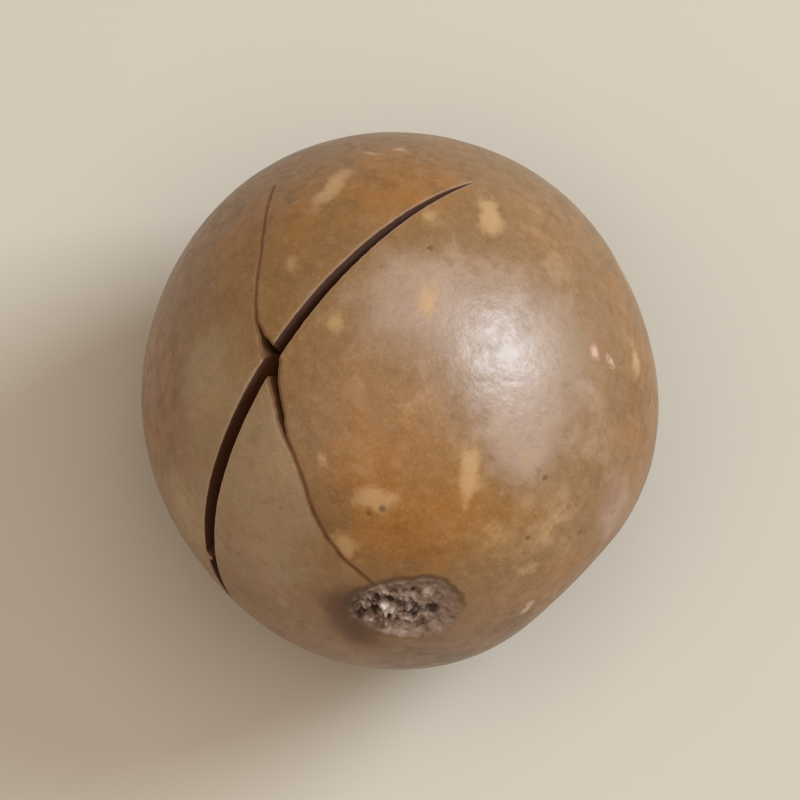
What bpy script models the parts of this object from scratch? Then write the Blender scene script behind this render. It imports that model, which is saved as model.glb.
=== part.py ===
"""Macadamia nut in its shell, whole, with a saw kerf in the shell and a crack along its seam.

It grew as one piece, so it is one solid. Its mesh is in the nut's own frame, with the centre at the origin,
+Z out through the scar and +X towards the seam. The object's rotation then lays it down on a small flat spot,
with the scar low at the front. Metres, +Z up.
"""

import math

import bmesh
import bpy
from mathutils import Matrix, Vector, noise

MM = 0.001

# The shell: a ball that is a little longer through its scar
WIDTH = 25.0 * MM
LENGTH = 26.5 * MM
SPIN_STEPS = 60
RING_STEP = math.radians(5.0)

# Where the ball is flatter or fuller: degrees from the scar, degrees from the seam, height, reach in degrees
UNEVEN = (
    (55, -158, -0.72 * MM, 20),
    (66, 90, -0.30 * MM, 26),
    (132, 9, 0.20 * MM, 30),
    (104, -104, -0.18 * MM, 18),
    (128, 140, -0.25 * MM, 34),
)

# The scar where the nut hung in its husk: a shallow oval pit with a crumbly floor and a low lip.
# It is narrower towards one side: its short radius as a share of its long one, and which way that lies.
SCAR_RADIUS = 2.75 * MM
SCAR_OVAL = 0.80
SCAR_NARROW_WAY = math.radians(-30.6)
SCAR_DEPTH = 0.38 * MM
SCAR_RINGS = 7
SCAR_WALL = 0.55 * MM
CRUMB_HEIGHT = 0.26 * MM
CRUMB_SIZE = 0.85 * MM
LIP_HEIGHT = 0.07 * MM
LIP_WIDTH = 0.45 * MM

# The saw kerf: a flat slot that the blade enters and leaves on a slope. It narrows slowly to its upper end
# and quickly to its lower one.
KERF_WIDTH = 0.76 * MM
KERF_DEPTH = 3.0 * MM
KERF_TILT = math.radians(43.4)
KERF_TURN = math.radians(-119.7)
KERF_OFFSET = -0.09 * MM
KERF_FROM = math.radians(-117)
KERF_TO = math.radians(30)
KERF_STEP = math.radians(4.7)
NARROWS_FROM = math.radians(77)
NARROWS_TO = math.radians(24)
RUN_OUT = math.radians(20)
RUN_OUT_WIDTH = 0.14
RUN_OUT_DEPTH = 0.12 * MM

# The crack: degrees from the scar, how far it strays from the seam, and its width.
# It is widest where its corners are chipped off, at the kerf.
CRACK_ROUTE = (
    (10.0, 0.38 * MM, 0.08 * MM),
    (14.5, 0.60 * MM, 0.11 * MM),
    (19.0, 0.88 * MM, 0.11 * MM),
    (25.0, 1.03 * MM, 0.12 * MM),
    (31.0, 0.95 * MM, 0.11 * MM),
    (37.0, 0.74 * MM, 0.09 * MM),
    (43.0, 0.66 * MM, 0.10 * MM),
    (47.5, 0.72 * MM, 0.20 * MM),
    (52.0, 0.60 * MM, 0.38 * MM),
    (57.0, 0.42 * MM, 0.45 * MM),
    (60.0, 0.36 * MM, 0.55 * MM),
    (63.5, 0.24 * MM, 0.95 * MM),
    (67.0, 0.20 * MM, 0.80 * MM),
    (70.5, 0.40 * MM, 0.28 * MM),
    (74.5, 0.54 * MM, 0.16 * MM),
    (79.0, 0.48 * MM, 0.11 * MM),
    (84.0, 0.28 * MM, 0.10 * MM),
    (92.0, -0.06 * MM, 0.08 * MM),
    (103.0, -0.21 * MM, 0.06 * MM),
    (114.0, -0.34 * MM, 0.05 * MM),
)
CRACK_STEP = math.radians(2.5)
CRACK_DEPTH = 1.7 * MM
CRACK_DEPTH_PER_WIDTH = 7.0

# The spot that the nut rests on, and how it lies
REST_RADIUS = 2.6 * MM
LAY_ROLL = math.radians(121.7)
LAY_TILT = math.radians(61.2)
LAY_TURN = math.radians(1.4)

SHELL_COLOUR = (0.33, 0.19, 0.10, 1.0)
SHELL_ROUGHNESS = 0.42
SHARP_ANGLE = math.radians(35)
CUTTER_CLEARANCE = 1.0 * MM
MERGE_SHARE = 1e-5
BISECT_SNAP = 1e-7


def way(from_scar, from_seam):
    """The unit vector at these two angles, in radians."""
    across = math.sin(from_scar)
    return Vector((across * math.cos(from_seam), across * math.sin(from_seam), math.cos(from_scar)))


def ease(share):
    """0 to 1 with a level start and end."""
    share = min(max(share, 0.0), 1.0)
    return share * share * (3 - 2 * share)


def shell_reach(out):
    """How far the shell stands from the centre along a unit vector, leaving out the scar."""
    across = math.hypot(out.x, out.y) / (WIDTH / 2)
    along = out.z / (LENGTH / 2)
    reach = 1 / math.hypot(across, along)
    for from_scar, from_seam, height, spread in UNEVEN:
        centre = way(math.radians(from_scar), math.radians(from_seam))
        apart = out.angle(centre) / math.radians(spread)
        reach += height * math.exp(-apart * apart)
    return reach


def oval(point, share):
    """The point with its distance across the scar's narrow way multiplied by a share."""
    narrow = Vector((math.cos(SCAR_NARROW_WAY), math.sin(SCAR_NARROW_WAY), 0))
    return point + narrow * (point.dot(narrow) * (share - 1))


def scar_relief(point):
    """How far the scar's floor or lip stands out of the shell, at a point of the shell."""
    from_axis = oval(point, 1 / SCAR_OVAL).xy.length
    if point.z < 0 or from_axis > SCAR_RADIUS + LIP_WIDTH:
        return 0.0
    if from_axis > SCAR_RADIUS:
        return LIP_HEIGHT * math.sin(math.pi * (from_axis - SCAR_RADIUS) / LIP_WIDTH)
    inside = ease((SCAR_RADIUS - from_axis) / SCAR_WALL)
    crumb = noise.noise(point / CRUMB_SIZE) * CRUMB_HEIGHT
    return inside * (crumb - SCAR_DEPTH)


def ring_angles():
    """The rings' angles from the scar: close together on the scar, then even round the shell."""
    scar_edge = math.asin(SCAR_RADIUS / (LENGTH / 2))
    lip_edge = math.asin((SCAR_RADIUS + LIP_WIDTH) / (LENGTH / 2))
    angles = [scar_edge * i / SCAR_RINGS for i in range(SCAR_RINGS + 1)]
    angles += [(scar_edge + lip_edge) / 2, lip_edge]
    rest = round((math.pi - lip_edge) / RING_STEP)
    angles += [lip_edge + (math.pi - lip_edge) * i / rest for i in range(1, rest + 1)]
    return angles


def new_object(name, bm):
    mesh = bpy.data.meshes.new(name)
    bm.to_mesh(mesh)
    bm.free()
    obj = bpy.data.objects.new(name, mesh)
    bpy.context.scene.collection.objects.link(obj)
    return obj


def turned_shell():
    """The ball: a half circle spun about the axis through the scar, then pushed out to the shell's form."""
    bm = bmesh.new()
    profile = [bm.verts.new(way(angle, 0)) for angle in ring_angles()]
    for upper, lower in zip(profile, profile[1:]):
        bm.edges.new((upper, lower))
    bmesh.ops.spin(
        bm,
        geom=bm.verts[:] + bm.edges[:],
        cent=(0, 0, 0),
        axis=(0, 0, 1),
        angle=2 * math.pi,
        steps=SPIN_STEPS,
        use_merge=True,
    )
    bmesh.ops.remove_doubles(bm, verts=bm.verts[:], dist=MERGE_SHARE)
    for vert in bm.verts:
        near_scar = ease(2 - vert.co.xy.length * (LENGTH / 2) / (SCAR_RADIUS + LIP_WIDTH)) * (vert.co.z > 0)
        out = oval(vert.co, 1 - (1 - SCAR_OVAL) * near_scar).normalized()
        point = out * shell_reach(out)
        vert.co = point + out * scar_relief(point)
    bmesh.ops.recalc_face_normals(bm, faces=bm.faces[:])
    return bm


def cut_rest_spot(bm, down):
    """Levels the shell where it touches what it lies on, and returns the flat's distance from the centre."""
    lowest = max(vert.co.dot(down) for vert in bm.verts)
    flat = lowest - REST_RADIUS**2 / WIDTH
    cut = bmesh.ops.bisect_plane(
        bm,
        geom=bm.verts[:] + bm.edges[:] + bm.faces[:],
        dist=BISECT_SNAP,
        plane_co=down * flat,
        plane_no=down,
        clear_outer=True,
    )
    rim = [item for item in cut["geom_cut"] if isinstance(item, bmesh.types.BMEdge)]
    bmesh.ops.edgeloop_fill(bm, edges=rim)
    bmesh.ops.recalc_face_normals(bm, faces=bm.faces[:])
    return flat


def skin_sections(name, sections):
    """A cutter: a closed skin through a row of sections that have the same number of corners."""
    bm = bmesh.new()
    rings = [[bm.verts.new(corner) for corner in section] for section in sections]
    corners = len(rings[0])
    for here, there in zip(rings, rings[1:]):
        for i in range(corners):
            j = (i + 1) % corners
            bm.faces.new((here[i], here[j], there[j], there[i]))
    bm.faces.new(rings[0])
    bm.faces.new(rings[-1])
    bmesh.ops.recalc_face_normals(bm, faces=bm.faces[:])
    cutter = new_object(name, bm)
    cutter.hide_render = True
    cutter.display_type = "WIRE"
    return cutter


def kerf_section(angle):
    """The kerf's four corners at this angle in the blade's plane, counted from the side near the scar."""
    normal = way(KERF_TILT, KERF_TURN)
    to_scar = (Vector((0, 0, 1)) - normal * normal.z).normalized()
    out = to_scar * math.cos(angle) + normal.cross(to_scar) * math.sin(angle)
    full = ease(min(angle - KERF_FROM, KERF_TO - angle) / RUN_OUT)
    depth = RUN_OUT_DEPTH + (KERF_DEPTH - RUN_OUT_DEPTH) * full
    wide = min((angle - KERF_FROM) / NARROWS_FROM, (KERF_TO - angle) / NARROWS_TO, 1)
    half = KERF_WIDTH / 2 * max(math.sqrt(max(wide, 0)), RUN_OUT_WIDTH)
    middle = normal * KERF_OFFSET
    floor = middle + out * (shell_reach(out) - depth)
    top = middle + out * (shell_reach(out) + CUTTER_CLEARANCE)
    return (floor - normal * half, floor + normal * half, top + normal * half, top - normal * half)


def kerf_cutter():
    steps = round((KERF_TO - KERF_FROM) / KERF_STEP)
    angles = [KERF_FROM + (KERF_TO - KERF_FROM) * i / steps for i in range(steps + 1)]
    return skin_sections("kerf_cutter", [kerf_section(angle) for angle in angles])


def crack_point(start, end, share):
    """The crack's direction and width at a share of the way between two points of its route."""
    degrees, stray, width = (a + (b - a) * share for a, b in zip(start, end))
    out = way(math.radians(degrees), 0) + Vector((0, stray / (WIDTH / 2), 0))
    return out.normalized(), width


def crack_points():
    """The crack's directions and widths, at even steps between the points of its route."""
    points = []
    for start, end in zip(CRACK_ROUTE, CRACK_ROUTE[1:]):
        steps = math.ceil(math.radians(end[0] - start[0]) / CRACK_STEP)
        points += [crack_point(start, end, i / steps) for i in range(steps)]
    points.append(crack_point(start, end, 1))
    return points


def crack_section(out, along, width):
    """The crack's five corners: a sharp bottom, its two edges at the shell, and two more clear of it."""
    reach = shell_reach(out)
    side = along.cross(out).normalized() * width / 2
    depth = min(CRACK_DEPTH, width * CRACK_DEPTH_PER_WIDTH)
    edge = out * reach
    top = out * (reach + CUTTER_CLEARANCE)
    return (out * (reach - depth), edge + side, top + side, top - side, edge - side)


def crack_cutter():
    points = crack_points()
    ahead = points[1:] + points[-1:]
    behind = points[:1] + points[:-1]
    sections = []
    for (out, width), (after, _), (before, _) in zip(points, ahead, behind):
        sections.append(crack_section(out, after - before, width))
    return skin_sections("crack_cutter", sections)


def shell_material():
    """Dry macadamia shell: hard, brown and half glossy."""
    material = bpy.data.materials.new("macadamia_shell")
    material.use_nodes = True
    shader = material.node_tree.nodes["Principled BSDF"]
    shader.inputs["Base Color"].default_value = SHELL_COLOUR
    shader.inputs["Roughness"].default_value = SHELL_ROUGHNESS
    shader.inputs["Metallic"].default_value = 0.0
    return material


def lay_rotation():
    """How the nut is turned from its own frame to the way it lies."""
    roll = Matrix.Rotation(LAY_ROLL, 4, "Z")
    tilt = Matrix.Rotation(LAY_TILT, 4, "X")
    turn = Matrix.Rotation(LAY_TURN, 4, "Z")
    return turn @ tilt @ roll


def lay_down(nut, rotation, flat):
    """Turns the nut and moves it, so that its box stands centred on the origin."""
    points = [rotation @ vert.co for vert in nut.data.vertices]
    middle_x = (min(p.x for p in points) + max(p.x for p in points)) / 2
    middle_y = (min(p.y for p in points) + max(p.y for p in points)) / 2
    nut.matrix_world = Matrix.Translation((-middle_x, -middle_y, flat)) @ rotation


def cut_from(nut, cutter):
    cutter.parent = nut
    cut = nut.modifiers.new(cutter.name, "BOOLEAN")
    cut.operation = "DIFFERENCE"
    cut.solver = "EXACT"
    cut.object = cutter


for old in list(bpy.data.objects):
    bpy.data.objects.remove(old, do_unlink=True)

lie = lay_rotation()
shell = turned_shell()
flat_distance = cut_rest_spot(shell, lie.to_3x3().transposed() @ Vector((0, 0, -1)))
nut = new_object("nut", shell)
nut.data.materials.append(shell_material())
lay_down(nut, lie, flat_distance)
cut_from(nut, kerf_cutter())
cut_from(nut, crack_cutter())
nut.data.shade_smooth()
nut.data.set_sharp_from_angle(angle=SHARP_ANGLE)
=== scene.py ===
"""A macadamia nut in its shell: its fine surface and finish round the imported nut, on a pale studio floor.

Metres, +Z up. The shell is made in the nut's own frame, with its centre at the origin, +Z out through the
scar and +X towards the seam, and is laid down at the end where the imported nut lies.
"""

import math
import random

import bmesh
import bpy
import numpy as np
from mathutils import Matrix, Vector, noise


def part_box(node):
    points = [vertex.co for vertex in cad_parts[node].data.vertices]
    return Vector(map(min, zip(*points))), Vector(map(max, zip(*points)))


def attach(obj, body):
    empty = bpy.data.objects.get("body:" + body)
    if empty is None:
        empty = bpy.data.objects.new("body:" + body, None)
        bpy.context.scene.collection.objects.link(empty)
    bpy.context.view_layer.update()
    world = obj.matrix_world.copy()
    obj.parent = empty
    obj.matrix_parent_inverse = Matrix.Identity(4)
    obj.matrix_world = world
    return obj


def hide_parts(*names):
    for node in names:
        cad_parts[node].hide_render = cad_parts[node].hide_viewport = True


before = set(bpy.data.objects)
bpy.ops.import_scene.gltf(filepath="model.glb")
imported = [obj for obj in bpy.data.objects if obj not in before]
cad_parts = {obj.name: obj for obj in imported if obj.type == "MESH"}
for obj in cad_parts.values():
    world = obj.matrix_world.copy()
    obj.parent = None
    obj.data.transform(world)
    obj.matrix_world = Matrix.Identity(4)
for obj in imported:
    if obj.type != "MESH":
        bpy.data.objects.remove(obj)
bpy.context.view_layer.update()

# The nut: a whole macadamia shell, hard and woody, tumbled until it is half glossy. It grew as one piece,
# round the scar where it hung in its husk. A saw has cut a kerf into it for the opening key, and the shell
# has cracked along its seam across the kerf.
MM = 0.001
WIDTH = 25.0 * MM
LENGTH = 26.5 * MM
RADIUS = WIDTH / 2
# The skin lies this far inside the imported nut, so that its fine relief doesn't stand out of the nut's box
SKIN_INSET = 0.03 * MM

# Where the ball is flatter or fuller: degrees from the scar, degrees from the seam, height, reach in degrees
UNEVEN = (
    (55, -158, -0.72 * MM, 20),
    (66, 90, -0.30 * MM, 26),
    (132, 9, 0.20 * MM, 30),
    (104, -104, -0.18 * MM, 18),
    (128, 140, -0.25 * MM, 34),
)
# The skin's own fine unevenness: the size of its hills, and their height
UNDULATIONS = ((2.6 * MM, 0.020 * MM), (1.1 * MM, 0.009 * MM))


def ways(from_scar, from_seam):
    """Unit vectors at these angles in degrees, one in each row."""
    polar, turn = np.radians(from_scar), np.radians(from_seam)
    return np.stack([np.sin(polar) * np.cos(turn), np.sin(polar) * np.sin(turn), np.cos(polar)], axis=-1)


def ease(share):
    """0 to 1 with a level start and end."""
    share = np.clip(share, 0.0, 1.0)
    return share * share * (3 - 2 * share)


def rough(points, size, height):
    """A smooth random relief, with hills of this size and height, at each point."""
    return np.array([noise.noise(Vector(point) / size) for point in points]) * height


def shell_reach(out):
    """How far the shell stands from the centre along unit vectors, leaving out its scar and fine relief."""
    reach = 1 / np.hypot(np.hypot(out[:, 0], out[:, 1]) / RADIUS, out[:, 2] / (LENGTH / 2))
    for from_scar, from_seam, height, spread in UNEVEN:
        apart = np.degrees(np.arccos(np.clip(out @ ways(from_scar, from_seam), -1, 1)))
        reach += height * np.exp(-((apart / spread) ** 2))
    return reach


# The kerf: a saw blade about 0.7 mm thick went in and out on a slope. The cut narrows slowly to its upper
# end and quickly to its lower one, and its edges are worn round and slightly ragged. Near its lower end a
# chip of shell still stands in it.
KERF_WIDTH = 0.76 * MM
KERF_DEPTH = 3.0 * MM
KERF_AXIS = ways(43.4, -119.7)
KERF_OFFSET = -0.09 * MM
# In degrees round the blade's axis: the kerf's two ends, the steps between its points, over how much it
# narrows to each end, and over how much it gets shallow there
KERF_FROM, KERF_TO = -117.0, 30.0
KERF_STEP = 0.5
NARROWS_FROM, NARROWS_TO = 77.0, 24.0
RUN_OUT = 20.0
# The share of its width that is left at its ends, and its depth there
RUN_OUT_WIDTH = 0.08
RUN_OUT_DEPTH = 0.12 * MM
# How ragged its edges are: the size of the bays, and their depth
KERF_RAGGED = ((1.2 * MM, 0.016 * MM), (0.35 * MM, 0.022 * MM))
# Where the chip stands and its reach, in degrees, and the share of the kerf that is shut there and beyond
CHIP_AT = 4.2
CHIP_REACH = 0.5
CHIP_SHARE = 0.6
SHUT_SHARE = 0.14
# Its worn edges: how far they reach beside it, and how far they drop
KERF_LIP = 0.13 * MM
KERF_LIP_DROP = 0.030 * MM
# The levels at which its walls have points, in shares of its depth
KERF_LEVELS = (0.0, 0.05, 0.14, 0.3, 0.6, 1.0)

to_scar = np.array([0, 0, 1.0]) - KERF_AXIS * KERF_AXIS[2]
to_scar /= np.linalg.norm(to_scar)
saw_frame = np.stack([to_scar, np.cross(KERF_AXIS, to_scar), KERF_AXIS], axis=1)

kerf_angles = np.arange(KERF_FROM, KERF_TO + KERF_STEP / 2, KERF_STEP)
kerf_full = ease(np.minimum(kerf_angles - KERF_FROM, KERF_TO - kerf_angles) / RUN_OUT)
kerf_wide = np.minimum((kerf_angles - KERF_FROM) / NARROWS_FROM, (KERF_TO - kerf_angles) / NARROWS_TO)
kerf_half = KERF_WIDTH / 2 * np.maximum(np.sqrt(np.clip(kerf_wide, 0, 1)), RUN_OUT_WIDTH)
kerf_depth = RUN_OUT_DEPTH + (KERF_DEPTH - RUN_OUT_DEPTH) * kerf_full
kerf_run = np.radians(kerf_angles) * RADIUS
kerf_walls = []
for side in (-1, 1):
    along = np.stack([kerf_run, kerf_run * 0 + side, kerf_run * 0], axis=1)
    ragged = sum(rough(along, size, height) for size, height in KERF_RAGGED) * kerf_full
    kerf_walls.append(KERF_OFFSET + side * (kerf_half + ragged))
chip = np.exp(-(((kerf_angles - CHIP_AT) / CHIP_REACH) ** 2))
shut = np.maximum(CHIP_SHARE * chip, SHUT_SHARE * ease((kerf_angles - CHIP_AT) / CHIP_REACH))
kerf_walls[0] += (kerf_walls[1] - kerf_walls[0]) * shut


def kerf_gap(out, reach):
    """How far points of the shell are from the kerf's nearest edge: under zero inside it."""
    saw = out @ saw_frame
    angle = np.degrees(np.arctan2(saw[:, 1], saw[:, 0]))
    offset = saw[:, 2] * reach
    low, high = (np.interp(angle, kerf_angles, wall) for wall in kerf_walls)
    beside = np.maximum(low - offset, offset - high)
    beyond = np.radians(np.abs(angle - np.clip(angle, KERF_FROM, KERF_TO))) * RADIUS
    return np.where(beyond > 0, np.hypot(np.maximum(beside, 0), beyond), beside)


# The crack: it opened along the seam as the shell dried, and its corners are chipped off where it crosses
# the kerf. Degrees from the scar, how far it strays from the seam, and its width.
CRACK_ROUTE = (
    (10.0, 0.38 * MM, 0.06 * MM),
    (14.5, 0.60 * MM, 0.11 * MM),
    (19.0, 0.88 * MM, 0.11 * MM),
    (25.0, 1.03 * MM, 0.12 * MM),
    (31.0, 0.95 * MM, 0.11 * MM),
    (37.0, 0.74 * MM, 0.07 * MM),
    (43.0, 0.66 * MM, 0.09 * MM),
    (47.5, 0.72 * MM, 0.20 * MM),
    (52.0, 0.60 * MM, 0.38 * MM),
    (57.0, 0.42 * MM, 0.45 * MM),
    (60.0, 0.36 * MM, 0.55 * MM),
    (63.5, 0.24 * MM, 0.95 * MM),
    (67.0, 0.20 * MM, 0.80 * MM),
    (70.5, 0.40 * MM, 0.28 * MM),
    (74.5, 0.54 * MM, 0.14 * MM),
    (79.0, 0.48 * MM, 0.07 * MM),
    (84.0, 0.28 * MM, 0.05 * MM),
    (92.0, -0.06 * MM, 0.04 * MM),
    (103.0, -0.21 * MM, 0.03 * MM),
    (114.0, -0.34 * MM, 0.02 * MM),
)
CRACK_STEP = 0.4
# The wider it gapes the deeper it goes: at least and at most this deep, growing with its width squared
CRACK_DEPTH = 1.7 * MM
CRACK_DEPTH_LEAST = 0.06 * MM
CRACK_DEPTH_GROWTH = 6.5 / MM
# How much its line wanders: the size of the bends, and their depth. Its width varies by a share of itself.
CRACK_RAGGED = ((1.4 * MM, 0.05 * MM), (0.45 * MM, 0.03 * MM))
CRACK_WIDTH_RAGGED = (0.5 * MM, 0.35)
# Shifts in the random relief, so that line and width wander unlike each other and unlike the kerf
CRACK_SHIFT, CRACK_WIDTH_SHIFT = 5, 9
# Its worn edges, listed as the kerf's are
CRACK_LIP = 0.15 * MM
CRACK_LIP_DROP = 0.045 * MM
# Its section: shares of its depth, and of its width there
CRACK_LEVELS = ((0.0, 1.0), (0.1, 0.8), (0.4, 0.45), (1.0, 0.0))

route = np.array(CRACK_ROUTE)
crack_angles = np.arange(route[0, 0], route[-1, 0], CRACK_STEP)
crack_run = np.radians(crack_angles) * RADIUS
crack_line = np.stack([crack_run, crack_run * 0 + CRACK_SHIFT, crack_run * 0], axis=1)
crack_stray = np.interp(crack_angles, route[:, 0], route[:, 1])
crack_stray += sum(rough(crack_line, size, height) for size, height in CRACK_RAGGED)
crack_width = np.interp(crack_angles, route[:, 0], route[:, 2])
crack_width *= 1 + rough(crack_line + CRACK_WIDTH_SHIFT, *CRACK_WIDTH_RAGGED)
crack_depth = np.minimum(CRACK_DEPTH, CRACK_DEPTH_LEAST + CRACK_DEPTH_GROWTH * crack_width**2)


def crack_gap(out):
    """How far points of the shell are from the crack's nearest edge: under zero inside it."""
    angle = np.degrees(np.arctan2(out[:, 0], out[:, 2]))
    aside = out[:, 1] / np.hypot(out[:, 0], out[:, 2]) * RADIUS - np.interp(angle, crack_angles, crack_stray)
    beside = np.abs(aside) - np.interp(angle, crack_angles, crack_width) / 2
    beyond = np.radians(np.abs(angle - np.clip(angle, crack_angles[0], crack_angles[-1]))) * RADIUS
    return np.where(beyond > 0, np.hypot(np.maximum(beside, 0), beyond), beside)


# The scar: a shallow oval pit with a low lip, a little narrower from top to bottom as the nut lies. Its corky
# floor has broken into crumbs with deep pits between them, deepest beside its middle, and one pale crumb
# stands up there.
SCAR_RADIUS = 2.75 * MM
SCAR_OVAL = 0.80
SCAR_NARROW_WAY = ways(90, -30.6)
SCAR_DEPTH = 0.34 * MM
SCAR_WALL = 0.75 * MM
SCAR_RAGGED = ((1.5 * MM, 0.34 * MM), (0.45 * MM, 0.14 * MM))
# The crumbs: their sizes and heights, and the share of these at the scar's edge and where it is most pitted
CRUMBS = ((1.10 * MM, 0.22 * MM), (0.52 * MM, 0.27 * MM), (0.27 * MM, 0.25 * MM), (0.13 * MM, 0.12 * MM))
CRUMBS_AT_EDGE, CRUMBS_PITTED = 0.35, 1.30
PITTED_AT = (4.5, 60.0)
PITTED_REACH = 1.7 * MM
# The pale crumb: where it is, its radius and its height
PALE_CRUMB_AT = (4.6, 58.0)
PALE_CRUMB = (0.26 * MM, 0.30 * MM)
# Deep hollows between the crumbs: degrees from the scar's middle, degrees from the seam, reach, depth
HOLLOWS = (
    (7.1, 70.0, 0.22 * MM, 0.30 * MM),
    (2.3, 28.0, 0.22 * MM, 0.30 * MM),
    (4.7, 97.0, 0.18 * MM, 0.20 * MM),
    (5.1, -54.0, 0.26 * MM, 0.22 * MM),
    (5.8, -134.0, 0.34 * MM, 0.28 * MM),
    (3.0, 178.0, 0.20 * MM, 0.18 * MM),
)
LIP_HEIGHT = 0.015 * MM
LIP_WIDTH = 0.45 * MM


def scar_edge(points):
    """How far points of the shell are from the scar's edge: under zero inside it."""
    edge = np.full(len(points), 2 * RADIUS)
    near = (points[:, 2] > 0) & (np.hypot(points[:, 0], points[:, 1]) < SCAR_RADIUS + 4 * LIP_WIDTH)
    narrow = (points[near] @ SCAR_NARROW_WAY)[:, None] * SCAR_NARROW_WAY
    oval = points[near] + narrow * (1 / SCAR_OVAL - 1)
    edge[near] = np.hypot(oval[:, 0], oval[:, 1]) - SCAR_RADIUS
    edge[near] += sum(rough(points[near], size, height) for size, height in SCAR_RAGGED)
    return edge


def bump_at(out, angles, radius):
    """A round bump at these angles: 1 at its middle and about 0 at twice its radius."""
    apart = np.arccos(np.clip(out @ ways(*angles), -1, 1)) * RADIUS
    return np.exp(-((apart / radius) ** 2))


def scar_crumbs(points):
    """How far the scar's crumbs stand up, or its pits go down, at points inside it."""
    out = points / np.linalg.norm(points, axis=1)[:, None]
    crumbs = sum(rough(points, size, height) for size, height in CRUMBS)
    crumbs *= CRUMBS_AT_EDGE + (CRUMBS_PITTED - CRUMBS_AT_EDGE) * bump_at(out, PITTED_AT, PITTED_REACH)
    return crumbs - sum(bump_at(out, row[:2], row[2]) * row[3] for row in HOLLOWS)


def scar_relief(points):
    """How far the scar's floor or lip stands out of the shell."""
    edge = scar_edge(points)
    relief = np.zeros(len(points))
    lip = (edge > 0) & (edge < LIP_WIDTH)
    relief[lip] = LIP_HEIGHT * np.sin(math.pi * edge[lip] / LIP_WIDTH)
    inside = edge < 0
    relief[inside] = ease(-edge[inside] / SCAR_WALL) * (scar_crumbs(points[inside]) - SCAR_DEPTH)
    out = points / np.linalg.norm(points, axis=1)[:, None]
    return relief + bump_at(out, PALE_CRUMB_AT, PALE_CRUMB[0]) * PALE_CRUMB[1]


# Small dark pits in the skin: degrees from the scar, degrees from the seam, radius
PITS = (
    (26.5, -21.4, 0.24 * MM),
    (26.0, -14.5, 0.17 * MM),
    (85.4, -38.8, 0.22 * MM),
    (41.7, -83.7, 0.20 * MM),
    (30.1, -95.6, 0.18 * MM),
    (41.2, -113.0, 0.20 * MM),
    (95.0, 150.0, 0.24 * MM),
    (58.0, 170.0, 0.20 * MM),
    (120.0, 70.0, 0.22 * MM),
    (177.0, 20.0, 0.34 * MM),
)
PIT_DEPTH = 0.06 * MM
pit_ways = np.array([ways(from_scar, from_seam) for from_scar, from_seam, _ in PITS])
pit_radii = np.array([radius for _, _, radius in PITS])


def pit_share(out):
    """How deep in a pit unit vectors are: 1 at its middle and 0 outside."""
    apart = np.arccos(np.clip(out @ pit_ways.T, -1, 1)) * RADIUS / pit_radii
    return np.exp(-(apart**2)).max(axis=1)


# Pale flecks, where the skin is thin and tan: degrees from the scar, degrees from the seam, half length,
# half width, how far they lean from the way to the scar, and strength
FLECKS = (
    (106.6, -17.1, 1.85 * MM, 0.62 * MM, -28, 0.75),
    (97.7, -53.1, 1.70 * MM, 0.75 * MM, -2, 0.90),
    (71.4, -38.3, 1.30 * MM, 0.55 * MM, -8, 0.80),
    (68.3, -16.3, 0.70 * MM, 0.60 * MM, 50, 0.50),
    (35.8, -56.4, 1.75 * MM, 0.56 * MM, 12, 1.00),
    (28.8, -20.5, 1.25 * MM, 0.72 * MM, 70, 0.95),
    (21.4, 5.5, 0.85 * MM, 0.55 * MM, 0, 0.80),
    (81.5, -97.9, 1.00 * MM, 0.60 * MM, 20, 0.60),
    (26.7, -77.6, 0.60 * MM, 0.45 * MM, 60, 0.50),
    (39.9, -4.9, 0.40 * MM, 0.34 * MM, 0, 0.60),
    (94.0, -39.1, 0.60 * MM, 0.45 * MM, 16, 0.40),
    (85.4, -7.6, 0.70 * MM, 0.34 * MM, 15, 0.45),
    (36.0, -100.0, 0.80 * MM, 0.60 * MM, 30, 0.45),
    (28.0, -112.0, 0.60 * MM, 0.50 * MM, 0, 0.40),
    (177.0, 20.0, 1.00 * MM, 0.80 * MM, 0, 1.00),
)
# The power in the rule of a fleck's outline: 2 gives an ellipse, and more a fuller shape
FLECK_FULLNESS = 2.3
# A fleck's field has this value far from it, and is worked out only within this cosine of its middle
NO_FLECK = -2.0
FLECK_WITHIN = 0.9
# Small whitish spots, listed in the same way: the first two are painted glints beside the highlight, and the
# others pale nicks in the gloss
NICKS_AND_GLINTS = (
    (72.9, -82.4, 0.31 * MM, 0.27 * MM, 20, 0.60),
    (73.8, -88.3, 0.31 * MM, 0.23 * MM, 60, 0.50),
    (28.5, -141.9, 0.56 * MM, 0.28 * MM, 75, 1.0),
    (120.7, -33.2, 0.42 * MM, 0.22 * MM, 60, 0.6),
    (119.5, -26.0, 0.30 * MM, 0.18 * MM, 60, 0.5),
)


def patches(out, rows):
    """The highest of some long, soft patches: 1 in the middle of the strongest, and under 0 outside them."""
    highest = np.full(len(out), NO_FLECK)
    for from_scar, from_seam, half_length, half_width, lean, strength in rows:
        centre = ways(from_scar, from_seam)
        along = ways(from_scar + 90, from_seam)
        x, y = (out @ along) * RADIUS, (out @ np.cross(centre, along)) * RADIUS
        turn = math.radians(lean)
        u = (x * math.cos(turn) + y * math.sin(turn)) / half_length
        v = (y * math.cos(turn) - x * math.sin(turn)) / half_width
        away = (np.abs(u) ** FLECK_FULLNESS + np.abs(v) ** FLECK_FULLNESS) ** (1 / FLECK_FULLNESS)
        patch = strength * (1 - away)
        highest = np.where(out @ centre > FLECK_WITHIN, np.maximum(highest, patch), highest)
    return highest


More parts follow.
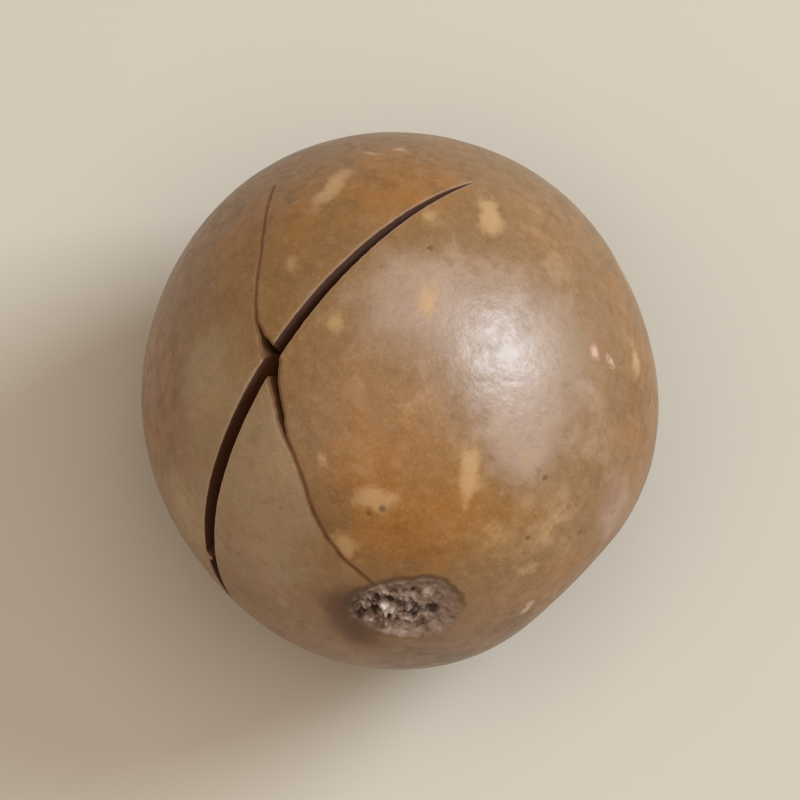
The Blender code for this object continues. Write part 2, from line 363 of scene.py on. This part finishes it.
def skin(out):
    """How far the finished skin stands from the centre along unit vectors."""
    reach = shell_reach(out)
    points = out * reach[:, None]
    kerf_lip = ease(1 - kerf_gap(out, reach) / KERF_LIP)
    crack_lip = ease(1 - crack_gap(out) / CRACK_LIP)
    relief = scar_relief(points) - pit_share(out) * PIT_DEPTH - kerf_lip * KERF_LIP_DROP
    relief -= crack_lip * CRACK_LIP_DROP
    relief += sum(rough(points, size, height) for size, height in UNDULATIONS)
    return reach + relief - SKIN_INSET


# The ball: a cube's six faces, divided evenly and blown up round
BALL_CUTS = 71
bm = bmesh.new()
bmesh.ops.create_cube(bm, size=2)
bmesh.ops.subdivide_edges(bm, edges=bm.edges[:], cuts=BALL_CUTS, use_grid_fill=True)
for vert in bm.verts:
    vert.co = Vector([math.tan(part * math.pi / 4) for part in vert.co]).normalized()

# Where it has fine detail, and how many more cuts an edge gets there
REFINE = (
    (lambda out: scar_edge(out * RADIUS) < 0.7 * MM, 2),
    (lambda out: scar_edge(out * RADIUS) < 0.1 * MM, 1),
    (lambda out: np.abs(kerf_gap(out, shell_reach(out))) < 0.65 * MM, 1),
    (lambda out: np.abs(kerf_gap(out, shell_reach(out))) < 0.32 * MM, 1),
    (lambda out: crack_gap(out) < 0.6 * MM, 1),
    (lambda out: crack_gap(out) < 0.32 * MM, 1),
    (lambda out: crack_gap(out) < 0.14 * MM, 1),
    (lambda out: pit_share(out) > 0.02, 1),
    (lambda out: pit_share(out) > 0.10, 1),
    (lambda out: patches(out, NICKS_AND_GLINTS) > -1.4, 2),
)
for is_near, cuts in REFINE:
    out = np.array([vert.co for vert in bm.verts])
    for vert, near in zip(bm.verts, is_near(out)):
        vert.tag = bool(near)
    fine = [edge for edge in bm.edges if edge.verts[0].tag and edge.verts[1].tag]
    bmesh.ops.subdivide_edges(bm, edges=fine, cuts=cuts, use_grid_fill=True)
    for vert in bm.verts:
        vert.co.normalize()

out = np.array([vert.co for vert in bm.verts])
for vert, reach in zip(bm.verts, skin(out)):
    vert.co *= reach


def new_object(name, bm):
    """An object in the scene, made from a bmesh, which is freed."""
    mesh = bpy.data.meshes.new(name)
    bm.to_mesh(mesh)
    bm.free()
    obj = bpy.data.objects.new(name, mesh)
    bpy.context.scene.collection.objects.link(obj)
    return obj


shell = new_object("shell", bm)


def spun_slot(name, corners, axis, sweep, steps, place):
    """A cutter: a flat section with its corners on rings, spun round the axis, then placed by a rule."""
    bm = bmesh.new()
    section = bm.faces.new([bm.verts.new(corner) for corner in corners])
    bmesh.ops.spin(
        bm,
        geom=[section] + list(section.edges) + list(section.verts),
        cent=(0, 0, 0),
        axis=axis,
        angle=math.radians(sweep),
        steps=steps,
    )
    for vert in bm.verts:
        vert.co = place(vert.co)
    bmesh.ops.recalc_face_normals(bm, faces=bm.faces[:])
    return new_object(name, bm)


# A section's corners lie on rings round the axis. The outermost ring stands clear of the shell, the next one
# lies in its skin, and those further in go down by the levels of the kerf or the crack.
CLEAR_RING = 10
CLEARANCE = 1.0 * MM


def place_kerf(corner):
    """Where a corner of the kerf's cutter goes: its turn gives the step along it, and its ring the depth."""
    angle = math.degrees(math.atan2(corner.y, corner.x)) + KERF_FROM
    step = min(max(round((angle - KERF_FROM) / KERF_STEP), 0), len(kerf_angles) - 1)
    angle = math.radians(kerf_angles[step])
    out = saw_frame @ np.array([math.cos(angle), math.sin(angle), 0])
    level = CLEAR_RING - 1 - round(math.hypot(corner.x, corner.y))
    depth = -CLEARANCE if level < 0 else KERF_LEVELS[level] * kerf_depth[step]
    reach = shell_reach(out[None])[0] - depth
    offset = kerf_walls[1 if corner.z > 0 else 0][step]
    return Vector(out * reach + KERF_AXIS * offset)


kerf_rings = range(CLEAR_RING - len(KERF_LEVELS), CLEAR_RING + 1)
kerf_corners = [(ring, 0, -1) for ring in kerf_rings] + [(ring, 0, 1) for ring in reversed(kerf_rings)]
kerf_sweep = kerf_angles[-1] - kerf_angles[0]
kerf_steps = len(kerf_angles) - 1
kerf_cutter = spun_slot("kerf_cutter", kerf_corners, (0, 0, 1), kerf_sweep, kerf_steps, place_kerf)


def place_crack(corner):
    """Where a corner of the crack's cutter goes, by its turn and its ring in the same way."""
    angle = math.degrees(math.atan2(corner.x, corner.z)) + crack_angles[0]
    step = min(max(round((angle - crack_angles[0]) / CRACK_STEP), 0), len(crack_angles) - 1)
    aside = crack_stray[step]
    level = CLEAR_RING - 1 - round(math.hypot(corner.x, corner.z))
    depth_share, width_share = (0.0, 1.0) if level < 0 else CRACK_LEVELS[level]
    depth = -CLEARANCE if level < 0 else depth_share * crack_depth[step]
    if abs(corner.y) > 0.5:
        aside += math.copysign(crack_width[step] / 2 * width_share, corner.y)
    out = ways(crack_angles[step], 0) + np.array([0, aside / RADIUS, 0])
    out /= np.linalg.norm(out)
    return Vector(out * (shell_reach(out[None])[0] - depth))


crack_rings = range(CLEAR_RING - len(CRACK_LEVELS) + 1, CLEAR_RING + 1)
crack_corners = [(0, 0, CLEAR_RING - len(CRACK_LEVELS))]
crack_corners += [(0, 1, ring) for ring in crack_rings]
crack_corners += [(0, -1, ring) for ring in reversed(crack_rings)]
crack_sweep = crack_angles[-1] - crack_angles[0]
crack_steps = len(crack_angles) - 1
crack_cutter = spun_slot("crack_cutter", crack_corners, (0, 1, 0), crack_sweep, crack_steps, place_crack)

# The two slots are joined first and leave the shell in one cut, which keeps it closed where they cross
for piece, operation, other in ((kerf_cutter, "UNION", crack_cutter), (shell, "DIFFERENCE", kerf_cutter)):
    boolean = piece.modifiers.new("cut", "BOOLEAN")
    boolean.operation = operation
    boolean.solver = "EXACT"
    boolean.object = other
depsgraph = bpy.context.evaluated_depsgraph_get()
mesh = bpy.data.meshes.new_from_object(shell.evaluated_get(depsgraph))
for spent in (kerf_cutter, crack_cutter, shell):
    bpy.data.objects.remove(spent, do_unlink=True)

# Where the skin is warmer or greyer, lighter or darker, and rosy: degrees from the scar, degrees from the
# seam, reach in degrees, warmth, lightness, rosiness. The rosy zones round the highlight are painted sheen,
# and the darker, warmer zones towards the nut's outline are painted shade.
ZONES = (
    (46, -30, 16, 0.6, 0.1, -0.2),
    (30, -14, 12, 0.9, -0.1, -0.4),
    (18, -39, 9, 0.9, -0.4, -0.4),
    (30, -60, 12, 0.6, 0.0, -0.3),
    (52, -10, 9, 0.3, 0.2, 0.0),
    (72, -34, 14, -0.3, 0.2, 0.9),
    (64, -64, 18, -0.4, 0.1, 1.0),
    (44, -70, 9, -0.5, 0.2, 0.9),
    (30, -97, 14, 0.35, 0.55, 0.0),
    (41, 22, 12, -0.9, 0.25, 0.2),
    (30, 50, 10, -0.5, 0.30, 0.2),
    (69, 22, 12, -1.0, 0.45, 0.0),
    (79, 40, 12, 1.7, -1.0, 0.3),
    (57, 57, 12, -0.9, 0.55, 0.1),
    (88, -2, 14, 0.1, 0.3, -0.2),
    (103, -4, 18, 0.4, -0.55, -0.4),
    (108, -34, 12, 1.1, -0.35, -0.3),
    (97, -68, 14, 0.5, 0.2, -0.1),
    (94, -92, 11, 0.7, -0.4, -0.4),
    (75, -104, 9, 1.8, -0.75, -0.5),
    (62, -122, 10, 0.9, -0.2, -0.2),
    (25, 150, 14, 0.1, -0.75, 0.1),
    (24, -163, 12, 0.3, -0.3, 0.1),
    (40, -133, 12, 1.0, -0.1, -0.1),
    (54, -119, 8, 0.1, 0.2, 1.0),
)
# The strip between the kerf and the crack's lower part is greyer than the skin across the crack: how warm it
# is, its middle and its reach in degrees from the scar, and how wide its edge and the strip itself are
STRIP_WARMTH = -0.7
STRIP_MIDDLE = 36.0
STRIP_REACH = 34.0
STRIP_EDGE = 0.3 * MM
STRIP_WIDTH = 4.0 * MM
# Dark stains beside the scar, and where the skin is freckled red: degrees from the scar, degrees from the
# seam, reach
STAINS = (
    (12.8, 47.0, 1.1 * MM),
    (13.4, 76.0, 1.1 * MM),
    (13.8, 107.0, 1.2 * MM),
)
RUDDY = (
    (15.0, 66.0, 1.5 * MM),
    (51.0, -114.0, 2.2 * MM),
    (74.0, -84.0, 1.9 * MM),
    (79.0, 40.0, 2.2 * MM),
    (26.0, 120.0, 1.8 * MM),
    (62.0, 60.0, 1.6 * MM),
)

# The scar's dark rim is painted shadow, as the edge of the sunken scar casts, strongest on its upper side:
# how far outside the edge it runs, its reach, and the share that is left of it on the lower side
RIM_AT = 0.08 * MM
RIM_REACH = 0.30 * MM
RIM_LEAST = 0.25
# The least distance from the scar's axis that is used, and how far outside the edge crumbs are worked out
LEAST_RADIUS = 0.1 * MM
CRUMBS_END = 0.3 * MM
# What is no further than this outside a cut's edge is on its wall
CUT_TOLERANCE = 0.004 * MM

# On the side that faces away, flecks and zones are drawn at random with a fixed seed, in the manner of those
# that show: how many, how far apart in degrees, and the cosine to the camera's way under which they may lie
SEED = 7
SEEN_FROM = ways(50.9, -30.6)
HIDDEN_FLECKS, HIDDEN_ZONES = 40, 18
FLECKS_APART = 16.0
FLECKS_UNDER, ZONES_UNDER = 0.1, -0.1
CLEAR_OF_SCAR = 0.95

draw = random.Random(SEED)


def drawn_place():
    """Degrees from the scar and from the seam, drawn evenly over the shell outside the scar."""
    return math.degrees(math.acos(draw.uniform(-1, CLEAR_OF_SCAR))), draw.uniform(-180, 180)


flecks = list(FLECKS)
while len(flecks) < len(FLECKS) + HIDDEN_FLECKS:
    from_scar, from_seam = drawn_place()
    half_length = draw.uniform(0.4, 1.5) * MM
    half_width = half_length * draw.uniform(0.38, 0.75)
    lean, strength = draw.gauss(0, 28), draw.uniform(0.4, 1.0)
    way = ways(from_scar, from_seam)
    nearest = max(way @ ways(*fleck[:2]) for fleck in flecks)
    if way @ SEEN_FROM < FLECKS_UNDER and nearest < math.cos(math.radians(FLECKS_APART)):
        flecks.append((from_scar, from_seam, half_length, half_width, lean, strength))
zones = list(ZONES)
while len(zones) < len(ZONES) + HIDDEN_ZONES:
    from_scar, from_seam = drawn_place()
    spread, warmth = draw.uniform(8, 18), draw.uniform(-0.5, 1.0)
    lightness_and_shade, rosiness_and_sheen = draw.uniform(-0.6, 0.3), draw.uniform(-0.3, 0.7)
    if ways(from_scar, from_seam) @ SEEN_FROM < ZONES_UNDER:
        zones.append((from_scar, from_seam, spread, warmth, lightness_and_shade, rosiness_and_sheen))

points = np.array([vert.co for vert in mesh.vertices])
reach = np.linalg.norm(points, axis=1)
out = points / reach[:, None]

zoned = np.zeros((3, len(out)))
for from_scar, from_seam, spread, *amounts in zones:
    apart = np.degrees(np.arccos(np.clip(out @ ways(from_scar, from_seam), -1, 1)))
    zoned += np.outer(amounts, np.exp(-((apart / spread) ** 2)))
seam_angle = np.degrees(np.arctan2(out[:, 0], out[:, 2]))
across = out[:, 1] / np.hypot(out[:, 0], out[:, 2]) * RADIUS
across -= np.interp(seam_angle, crack_angles, crack_stray)
in_strip = ease(across / STRIP_EDGE) * ease(1 - np.abs(seam_angle - STRIP_MIDDLE) / STRIP_REACH)
in_strip *= np.exp(-((across / STRIP_WIDTH) ** 2))
zoned[0] += STRIP_WARMTH * in_strip
stain = sum(bump_at(out, row[:2], row[2]) for row in STAINS)
ruddy = sum(bump_at(out, row[:2], row[2]) for row in RUDDY)
edge = scar_edge(points)
from_axis = np.maximum(np.hypot(points[:, 0], points[:, 1]), LEAST_RADIUS)
rim_side = (points / from_axis[:, None]) @ SCAR_NARROW_WAY
# A painted shadow along the scar's edge, strongest on its upper side
rim_shadow = np.exp(-(((edge - RIM_AT) / RIM_REACH) ** 2)) * (RIM_LEAST + (1 - RIM_LEAST) * ease(0.5 + rim_side))
in_scar = np.where(edge < CRUMBS_END)[0]
crumb = np.zeros(len(out))
crumb[in_scar] = scar_crumbs(points[in_scar]) / MM
crumb += bump_at(out, PALE_CRUMB_AT, PALE_CRUMB[0])

on_kerf = kerf_gap(out, reach)
on_crack = crack_gap(out)
below = np.maximum(skin(out) - reach, 0) / MM
sawn = on_kerf < CUT_TOLERANCE
torn = (on_crack < CUT_TOLERANCE) & ~sawn
# What the material reads at each point, with every distance in millimetres
attributes = {
    "sawn": below * sawn,
    "torn": below * torn,
    "kerf_gap": np.clip(on_kerf / MM, 0, 2),
    "crack_gap": np.clip(on_crack / MM, 0, 2),
    "scar_edge": np.clip(edge / MM, -3, 3),
    "rim_shadow": rim_shadow,
    "stain": stain,
    "ruddy": ruddy,
    "crumb": crumb,
    "pale_crumb": bump_at(out, PALE_CRUMB_AT, PALE_CRUMB[0]),
    "fleck": patches(out, flecks),
    "nick_and_glint": patches(out, NICKS_AND_GLINTS),
    "pit": pit_share(out),
    "warmth": zoned[0],
    "lightness_and_shade": zoned[1],
    "rosiness_and_sheen": zoned[2],
}
for name, values in attributes.items():
    mesh.attributes.new(name, "FLOAT", "POINT").data.foreach_set("value", values.astype(np.float32))

# The nut lies on a small flat spot, with its scar low at the front. The turns are in degrees.
LAY_ROLL, LAY_TILT, LAY_TURN = 121.7, 61.2, 1.4
FLAT_TOLERANCE = 0.0001 * MM
SHARP_FROM = 40.0
lie = Matrix.Rotation(math.radians(LAY_TURN), 4, "Z")
lie @= Matrix.Rotation(math.radians(LAY_TILT), 4, "X")
lie @= Matrix.Rotation(math.radians(LAY_ROLL), 4, "Z")
mesh.transform(lie)
points = np.array([vert.co for vert in mesh.vertices])
low, high = points.min(axis=0), points.max(axis=0)
cad_low, cad_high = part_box("nut")
shift = Vector((cad_low + cad_high) / 2) - Vector((low + high) / 2)
shift.z = cad_high.z - SKIN_INSET - high[2]
mesh.transform(Matrix.Translation(shift))

bm = bmesh.new()
bm.from_mesh(mesh)
cut = bmesh.ops.bisect_plane(
    bm,
    geom=bm.verts[:] + bm.edges[:] + bm.faces[:],
    dist=FLAT_TOLERANCE,
    plane_co=(0, 0, cad_low.z),
    plane_no=(0, 0, -1),
    clear_outer=True,
)
flat_edges = [item for item in cut["geom_cut"] if isinstance(item, bmesh.types.BMEdge)]
flat = bmesh.ops.edgeloop_fill(bm, edges=flat_edges)["faces"]
bmesh.ops.recalc_face_normals(bm, faces=bm.faces[:])
for face in bm.faces:
    face.smooth = True
for face in flat:
    face.smooth = False
nut = new_object("nut_shell", bm)
nut.data.set_sharp_from_angle(angle=math.radians(SHARP_FROM))

# Its finish: macadamia shell, dry and woody, rubbed until its own wax shines. It is brown and mottled in
# soft blotches, and lights spread on it in a soft, broken patch. Sawn and broken faces are dull and dark
# brown, partly painted shade in the slots.
material = bpy.data.materials.new("tumbled_macadamia_shell")
material.use_nodes = True
tree = material.node_tree
shader = tree.nodes["Principled BSDF"]


def add_node(kind, links, **settings):
    """Adds a node with its settings, and its inputs' values or links."""
    node = tree.nodes.new("ShaderNode" + kind)
    for name, value in settings.items():
        setattr(node, name, value)
    for socket, value in links.items():
        if isinstance(value, bpy.types.NodeSocket):
            tree.links.new(value, node.inputs[socket])
        else:
            node.inputs[socket].default_value = value
    return node


def linear(colour):
    """A linear RGBA colour from an sRGB hex value."""
    parts = [int(colour[i : i + 2], 16) / 255 for i in (1, 3, 5)]
    return [part / 12.92 if part <= 0.04045 else ((part + 0.055) / 1.055) ** 2.4 for part in parts] + [1.0]


place = add_node("TexCoord", {}).outputs["Object"]
fields = {name: add_node("Attribute", {}, attribute_name=name).outputs["Fac"] for name in attributes}

# Random fields, each 0 on average: the size of their blotches, how fine they go, how far they are drawn out
# along the nut, and a shift so that no two are alike
SPOTS = {
    "cloud": (7.0 * MM, 2.0, 1.0, 0.0),
    "blotch": (2.6 * MM, 3.0, 1.0, 7.0),
    "patch": (1.1 * MM, 3.0, 1.0, 9.0),
    "speck": (0.50 * MM, 2.0, 1.0, 11.0),
    "grit": (0.16 * MM, 2.0, 1.0, 13.0),
    "streak": (0.9 * MM, 1.0, 6.0, 15.0),
}
# How strong each finer step of a field is beside the one before it
FINE_SHARE = 0.55
for name, (size, detail, drawn_out, shift) in SPOTS.items():
    laid = {"Vector": place, "Location": (shift, shift, shift), "Rotation": lie.to_euler()}
    laid["Scale"] = (1, 1, drawn_out)
    turned = add_node("Mapping", laid, vector_type="TEXTURE").outputs[0]
    links = {"Vector": turned, "Scale": 1 / size, "Detail": detail, "Roughness": FINE_SHARE}
    fields[name] = add_node("TexNoise", links, normalize=False).outputs["Fac"]

# The zones and patches with their outlines broken up by the random fields
BROKEN_UP = {
    "warm": {"warmth": 1.0, "cloud": 0.35, "blotch": 0.35, "patch": 0.30},
    "rosy_and_sheen": {"rosiness_and_sheen": 1.0, "cloud": 0.20, "blotch": 0.30, "patch": 0.15},
    "light": {"lightness_and_shade": 1.0, "blotch": 0.40, "patch": 0.38, "speck": 0.20, "streak": 0.14},
    "flecked": {"fleck": 1.0, "patch": 0.26, "speck": 0.16, "streak": 0.10},
    "scarred": {"scar_edge": 1.0, "patch": 0.22, "speck": 0.16},
    "stained": {"stain": 1.0, "patch": 0.35, "speck": 0.25, "grit": 0.10},
    "freckled": {"ruddy": 1.3, "patch": 0.30, "speck": 0.90, "grit": 0.20},
    "crumbly": {"crumb": 1.0, "speck": 0.12, "grit": 0.05},
    "pitted": {"pit": 1.0, "patch": 0.12, "speck": 0.18},
    "rim_shadowed": {"rim_shadow": 1.0, "patch": 0.25, "speck": 0.15},
    "nicked_and_glinting": {"nick_and_glint": 1.0, "patch": 0.25, "speck": 0.45, "grit": 0.15},
}
for name, parts in BROKEN_UP.items():
    total = 0.0
    for part, share in parts.items():
        total = add_node("Math", {0: fields[part], 1: share, 2: total}, operation="MULTIPLY_ADD").outputs[0]
    fields[name] = total

# The finish in layers, from the skin's own brown outwards: the field that each follows, from which value to
# which it grows, its colour, and its strength
LAYERS = (
    ("warm", 0.0, 1.1, "#a2692b", 0.85),
    ("warm", 0.0, -1.1, "#a68b6a", 0.85),
    # The rosy layer is partly painted sheen round the highlight.
    ("rosy_and_sheen", 0.0, 1.1, "#b0927f", 0.85),
    ("light", 0.0, 1.2, "#c19c70", 0.60),
    # The light layer's dark side is partly painted shade towards the nut's outline.
    ("light", 0.0, -1.2, "#5f3d1c", 0.50),
    ("speck", 0.25, 0.9, "#b99468", 0.20),
    ("speck", -0.25, -0.9, "#6a4a2c", 0.16),
    ("grit", 0.15, 0.8, "#c9a880", 0.16),
    ("grit", -0.15, -0.8, "#5c4026", 0.16),
    ("freckled", 1.00, 1.75, "#9c5f45", 0.60),
    ("flecked", -0.10, 0.65, "#c99d6c", 0.80),
    # Whitish spots: painted glints beside the highlight, and pale nicks
    ("nicked_and_glinting", -0.30, 0.80, "#dcb79c", 0.80),
    ("pitted", 0.3, 1.0, "#6a4320", 0.75),
    # The painted shadow along the scar's edge
    ("rim_shadowed", 0.1, 1.0, "#4a2f1b", 0.70),
    ("kerf_gap", 0.13, 0.02, "#ba9a8a", 0.34),
    ("crack_gap", 0.16, 0.0, "#70472b", 0.75),
    ("scarred", 0.16, -0.36, "#93786a", 0.95),
    ("stained", 0.0, 1.4, "#5d4234", 0.78),
)
# The scar's crumbs and the pits between them, laid only where it is scarred: pale on the crumbs' tops and
# near-black in the pits, which is painted shade
IN_SCAR = (
    ("crumbly", -0.05, 0.34, "#c9b6a8", 0.90),
    ("crumbly", 0.02, -0.26, "#2c1b13", 0.97),
    ("pale_crumb", 0.3, 0.7, "#e8ddd0", 0.9),
)
# The walls of the cuts, by how far they lie under the skin. Their dark browns are partly painted shade in the
# narrow slots, darkest deep in the crack.
CUTS = (
    ("torn", 0.01, 0.10, "#64401f", 1.0),
    ("torn", 0.15, 0.80, "#40240f", 1.0),
    ("sawn", 0.01, 0.09, "#56311a", 1.0),
    ("sawn", 0.40, 1.20, "#6a3818", 1.0),
)
SHELL_BROWN = "#8f673c"
colour = linear(SHELL_BROWN)
# Each field's first layer is kept as a mask of where that finish lies
masks = {}
for layers, mask in ((LAYERS, None), (IN_SCAR, "scarred"), (CUTS, None)):
    for name, low, high, paint, strength in layers:
        span = {"Value": fields[name], "From Min": low, "From Max": high, "To Max": strength}
        amount = add_node("MapRange", span, interpolation_type="SMOOTHSTEP").outputs["Result"]
        if mask:
            amount = add_node("Math", {0: amount, 1: masks[mask]}, operation="MULTIPLY").outputs[0]
        masks.setdefault(name, amount)
        mix = add_node("Mix", {0: amount, 6: colour, 7: linear(paint)}, data_type="RGBA")
        colour = mix.outputs[2]
tree.links.new(colour, shader.inputs["Base Color"])

# Corky, stained and cut faces and the painted shadow round the scar are dull. Elsewhere the wax is uneven, in
# patches rubbed more or less.
DULL = ("sawn", "torn", "stained", "rim_shadowed", "crack_gap")
ROUGHNESS, PATCHY_ROUGHNESS, DULL_ROUGHNESS = 0.50, 0.06, 0.45
WAX = 0.20
PATCHY_WAX = {"patch": 0.20, "speck": 0.16}
dull = masks["scarred"]
for name in DULL:
    dull = add_node("Math", {0: dull, 1: masks[name]}, operation="MAXIMUM").outputs[0]
uneven = {0: fields["patch"], 1: PATCHY_ROUGHNESS, 2: ROUGHNESS}
gloss = add_node("Math", uneven, operation="MULTIPLY_ADD").outputs[0]
gloss = add_node("Math", {0: dull, 1: DULL_ROUGHNESS, 2: gloss}, operation="MULTIPLY_ADD").outputs[0]
tree.links.new(gloss, shader.inputs["Roughness"])
wax = WAX
for part, share in PATCHY_WAX.items():
    wax = add_node("Math", {0: fields[part], 1: share, 2: wax}, operation="MULTIPLY_ADD").outputs[0]
wax = add_node("Math", {0: dull, 1: -WAX, 2: wax}, operation="MULTIPLY_ADD", use_clamp=True).outputs[0]
tree.links.new(wax, shader.inputs["Coat Weight"])

# The gloss of wood and of its wax, the same all over. The wax's index is above its real one, so that a thin
# coat shows the lights as clearly as the rubbed shell does.
GLOSS = {"Specular IOR Level": 0.65, "Coat IOR": 1.8, "Coat Roughness": 0.30}
for socket, value in GLOSS.items():
    shader.inputs[socket].default_value = value

# Relief too fine for the mesh breaks up the lights: how much of each random field, its strength and height
RELIEF = {"blotch": 1.4, "patch": 1.0, "speck": 0.62, "grit": 0.20}
RELIEF_STRENGTH = 0.35
RELIEF_HEIGHT = 0.03 * MM
height = 0.0
for part, share in RELIEF.items():
    height = add_node("Math", {0: fields[part], 1: share, 2: height}, operation="MULTIPLY_ADD").outputs[0]
bump = add_node("Bump", {"Height": height, "Strength": RELIEF_STRENGTH, "Distance": RELIEF_HEIGHT})
tree.links.new(bump.outputs["Normal"], shader.inputs["Normal"])
tree.links.new(bump.outputs["Normal"], shader.inputs["Coat Normal"])
nut.data.materials.append(material)

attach(nut, "root")
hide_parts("nut")

# The studio's floor: a wide sheet of pale, uncoated paper, smooth and matt, so that it shows soft shadows
# and no reflections
FLOOR_RADIUS = 1.6
FLOOR_SEGMENTS = 96
FLOOR_COLOUR = "#d0c5b6"
FLOOR_ROUGHNESS = 0.9
bm = bmesh.new()
bmesh.ops.create_circle(bm, cap_ends=True, radius=FLOOR_RADIUS, segments=FLOOR_SEGMENTS)
floor = new_object("floor", bm)
paper = bpy.data.materials.new("pale_matt_paper")
paper.use_nodes = True
paper_shader = paper.node_tree.nodes["Principled BSDF"]
paper_shader.inputs["Base Color"].default_value = linear(FLOOR_COLOUR)
paper_shader.inputs["Roughness"].default_value = FLOOR_ROUGHNESS
floor.data.materials.append(paper)

# The lights: square soft boxes. The key light is a little blue, as a window is, and comes from the upper
# right. A smaller box in its middle shows in the gloss alone. The overhead one lights but isn't reflected.
CENTRE = Vector((0, 0, cad_high.z / 2))
KEY_WAY = (0.69, 0.28, 0.67)
KEY_DISTANCE = 0.5


def soft_light(name, direction, distance, size, power, colour):
    """A square soft box that faces the nut from this direction, with its colour as linear RGB."""
    light = bpy.data.lights.new(name, "AREA")
    light.size = size
    light.energy = power
    light.color = colour
    lamp = bpy.data.objects.new(name, light)
    lamp.location = CENTRE + Vector(direction).normalized() * distance
    lamp.rotation_euler = Vector(direction).to_track_quat("Z", "Y").to_euler()
    bpy.context.scene.collection.objects.link(lamp)
    return lamp


soft_light("key", KEY_WAY, KEY_DISTANCE, 0.20, 2.1, (0.75, 0.885, 1.0))
glint = soft_light("glint", KEY_WAY, KEY_DISTANCE, 0.11, 0.34, (0.50, 0.74, 1.0))
glint.visible_diffuse = False
soft_light("fill", (-0.6, -0.2, 0.8), 0.6, 0.5, 0.5, (1.0, 0.94, 0.85))
overhead = soft_light("overhead", (0.1, -0.1, 1.0), 0.6, 0.5, 1.7, (1.0, 0.96, 0.90))
overhead.visible_glossy = False

# The warm, dim light that comes back from the studio's walls
WALLS_COLOUR = "#e6cfae"
WALLS_STRENGTH = 0.25
world = bpy.data.worlds.new("studio")
world.use_nodes = True
background = world.node_tree.nodes["Background"]
background.inputs["Color"].default_value = linear(WALLS_COLOUR)
background.inputs["Strength"].default_value = WALLS_STRENGTH
bpy.context.scene.world = world

# The camera looks down at the photograph's angle, from far enough that the nut is hardly foreshortened.
# Along Y the nut takes up this share of the picture.
CAMERA_HEIGHT = 78.0
CAMERA_DISTANCE = 0.8
FRAME_SHARE = 0.68
camera = bpy.data.cameras.new("camera")
camera.sensor_width = 36.0
camera.lens = camera.sensor_width * FRAME_SHARE * CAMERA_DISTANCE / (cad_high.y - cad_low.y)
camera.clip_start = 0.01
seat = bpy.data.objects.new("camera", camera)
rise = math.radians(CAMERA_HEIGHT)
seat.location = CENTRE + Vector((0, -math.cos(rise), math.sin(rise))) * CAMERA_DISTANCE
seat.rotation_euler = (math.pi / 2 - rise, 0, 0)
bpy.context.scene.collection.objects.link(seat)
bpy.context.scene.camera = seat
bpy.context.scene.view_settings.view_transform = "Standard"
